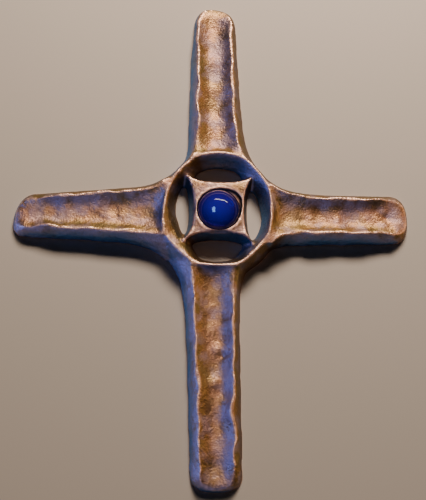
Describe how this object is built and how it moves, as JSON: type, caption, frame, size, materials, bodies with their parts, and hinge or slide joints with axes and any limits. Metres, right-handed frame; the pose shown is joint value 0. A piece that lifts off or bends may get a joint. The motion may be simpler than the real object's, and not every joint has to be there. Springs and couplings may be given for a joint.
{
  "type": "bronze cross",
  "caption": "Hand-modelled cast bronze cross with channelled arms, an eight-sided pierced ring at the crossing and a blue glass cabochon set in its middle.",
  "frame": {"origin": "on the flat back face, under the middle of the ring", "axes": "+Z out of the decorated face, +Y along the top arm, +X along the right arm as seen from the front"},
  "size_m": [0.183, 0.2334, 0.0142],
  "materials": {
    "patinated_bronze": "brown patina with rubbed golden edges",
    "blue_glass": "polished"
  },
  "bodies": {
    "root": {"bronze_cross": "patinated_bronze", "glass_cabochon": "blue_glass"}
  },
  "joints": []
}
